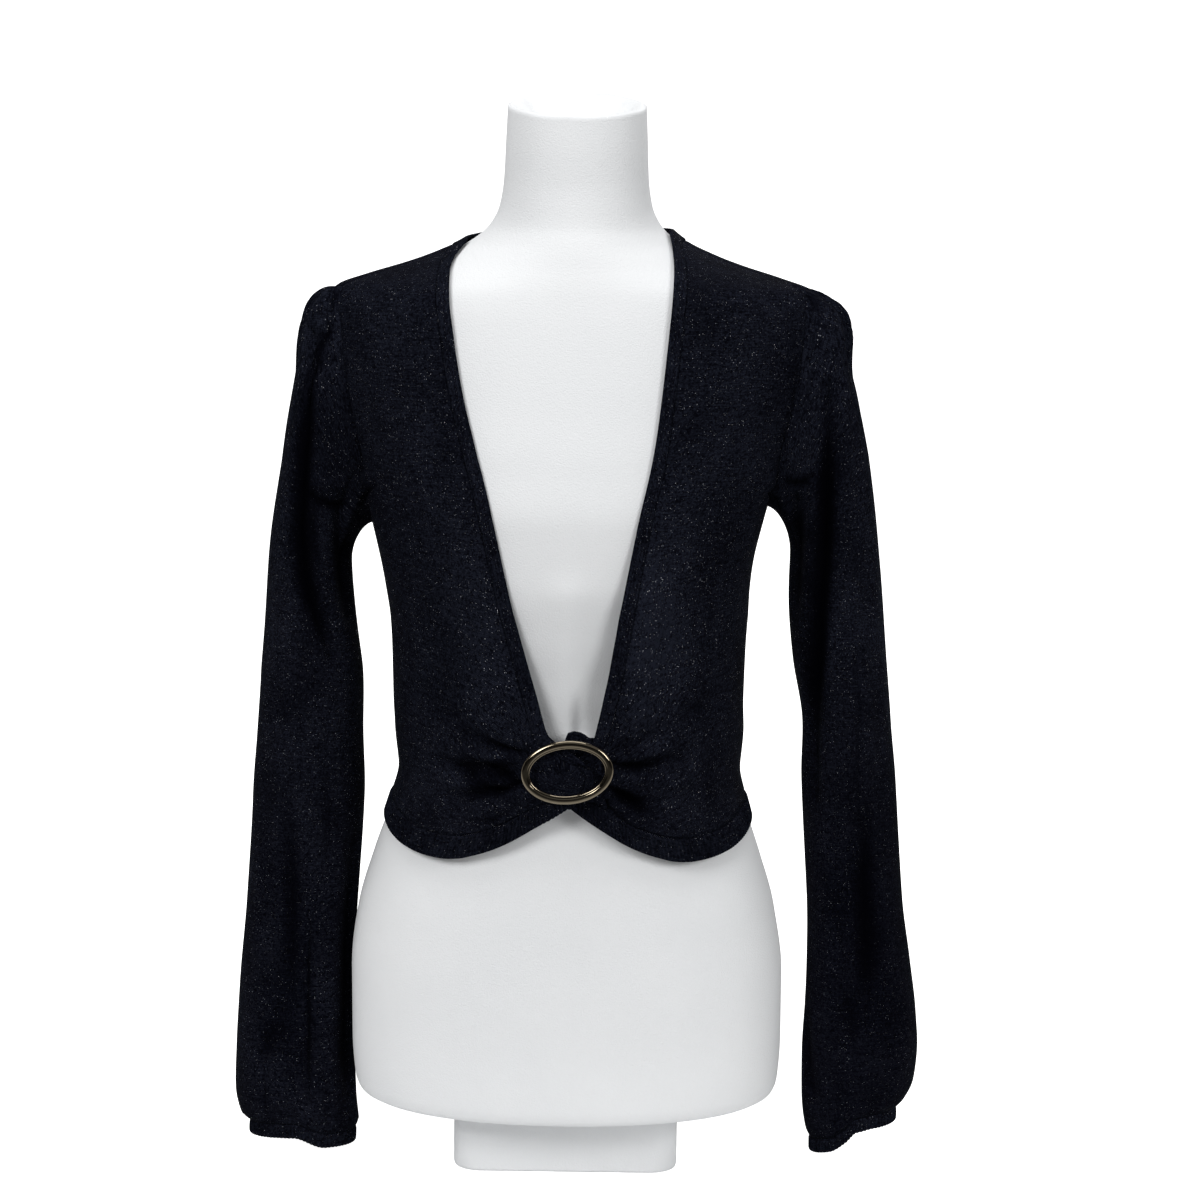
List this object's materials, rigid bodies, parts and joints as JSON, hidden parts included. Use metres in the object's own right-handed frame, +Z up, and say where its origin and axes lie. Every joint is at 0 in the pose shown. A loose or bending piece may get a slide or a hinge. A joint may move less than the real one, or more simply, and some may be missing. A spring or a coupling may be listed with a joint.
{
  "type": "cropped knitted cardigan with a ring front on a limbless dress form",
  "caption": "Cropped fine-knit cardigan with a deep V, ribbed hem and cuffs, its fronts drawn behind an oval metal ring, worn on a white limbless dress form.",
  "frame": {"origin": "centre of the underside of the foot that the form stands on", "axes": "+X to the wearer's left, -Y towards the garment's front, +Z up"},
  "size_m": [0.5253, 0.2274, 0.8077],
  "materials": {
    "knit": "near-black navy fine knit with a metallic thread",
    "ring_metal": "polished dark champagne-grey metal",
    "form_cover": "matte off-white stretch cover"
  },
  "bodies": {
    "root": {"front_right": "knit", "front_left": "knit", "front_band_right": "knit", "front_band_left": "knit", "neck_band_back": "knit", "back": "knit", "hem_rib_front_right": "knit", "hem_rib_front_left": "knit", "hem_rib_back": "knit", "sleeve_right": "knit", "sleeve_left": "knit", "cuff_right": "knit", "cuff_left": "knit", "ring_loop": "knit", "ring": "ring_metal", "dress_form": "form_cover", "form_foot": "form_cover"}
  },
  "joints": []
}
